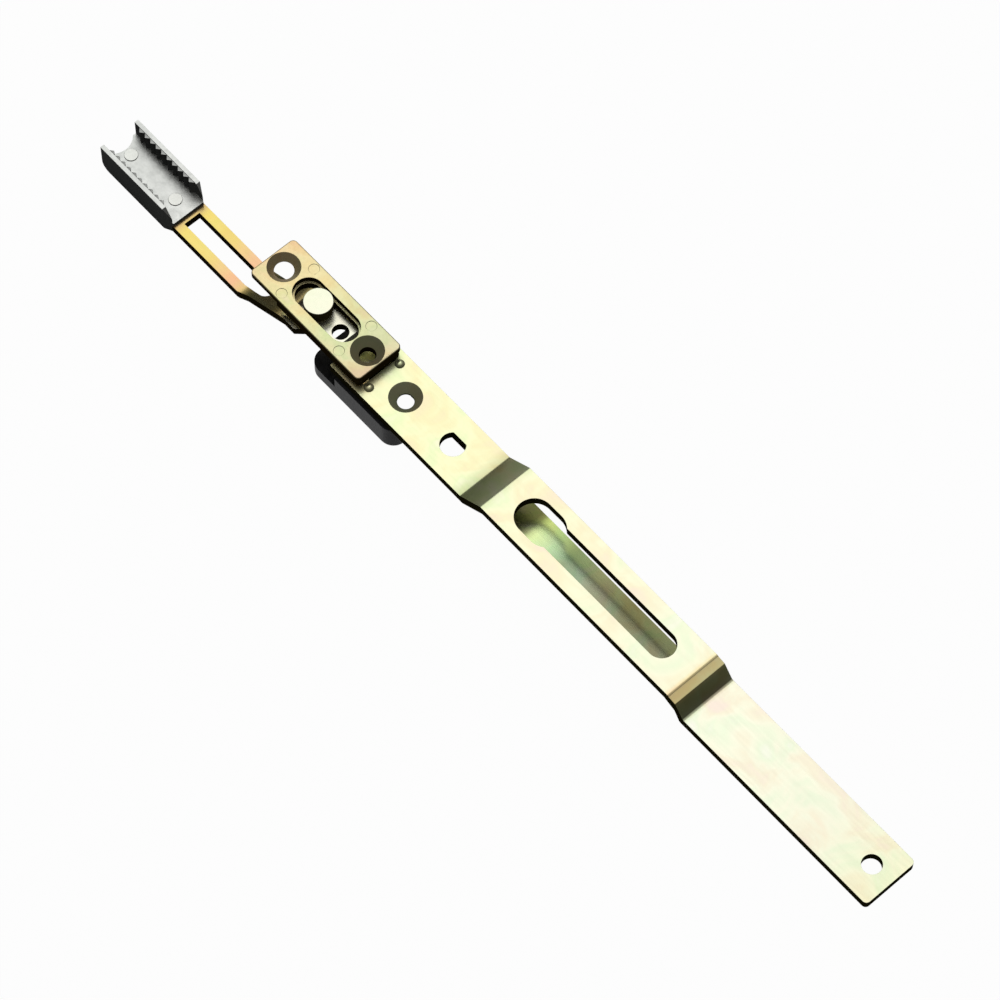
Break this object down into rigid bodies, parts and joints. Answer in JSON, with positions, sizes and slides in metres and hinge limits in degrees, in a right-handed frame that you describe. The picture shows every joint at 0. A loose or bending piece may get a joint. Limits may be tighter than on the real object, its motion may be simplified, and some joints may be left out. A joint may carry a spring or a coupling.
{
  "type": "tilt and turn espagnolette",
  "caption": "Joggled faceplate with a keyhole bridge, a slotted guide block and a sliding drive rod that ends in a serrated coupling.",
  "frame": {"origin": "centre of the faceplate's countersunk screw hole, on the faceplate's top face", "axes": "+X along the faceplate from the serrated coupling to the plain end, +Z out of the faceplate's top face, +Y across the faceplate"},
  "size_m": [0.2759, 0.0178, 0.0162],
  "materials": {
    "passivated_steel": "yellow passivated zinc plate, satin",
    "passivated_casting": "yellow passivated zinc die casting, satin",
    "black_plastic": "moulded black, satin",
    "passivated_rod": "yellow passivated zinc plate, satin",
    "stud_steel": "pale passivated, smooth",
    "zinc_casting": "bare grey zinc die casting, matt",
    "rivet_zinc": "peened grey metal"
  },
  "bodies": {
    "base": {"faceplate_strip": "passivated_steel", "guide_block": "passivated_casting", "support_guide": "black_plastic"},
    "slider": {"drive_rod": "passivated_rod", "cam_stud": "stud_steel", "serrated_coupling": "zinc_casting", "coupling_rivets": "rivet_zinc"}
  },
  "joints": [
    {"name": "rod_slide", "type": "slide", "parent": "base", "child": "slider", "axis": [1, 0, 0], "range_m": [-0.0036, 0.0097]}
  ]
}
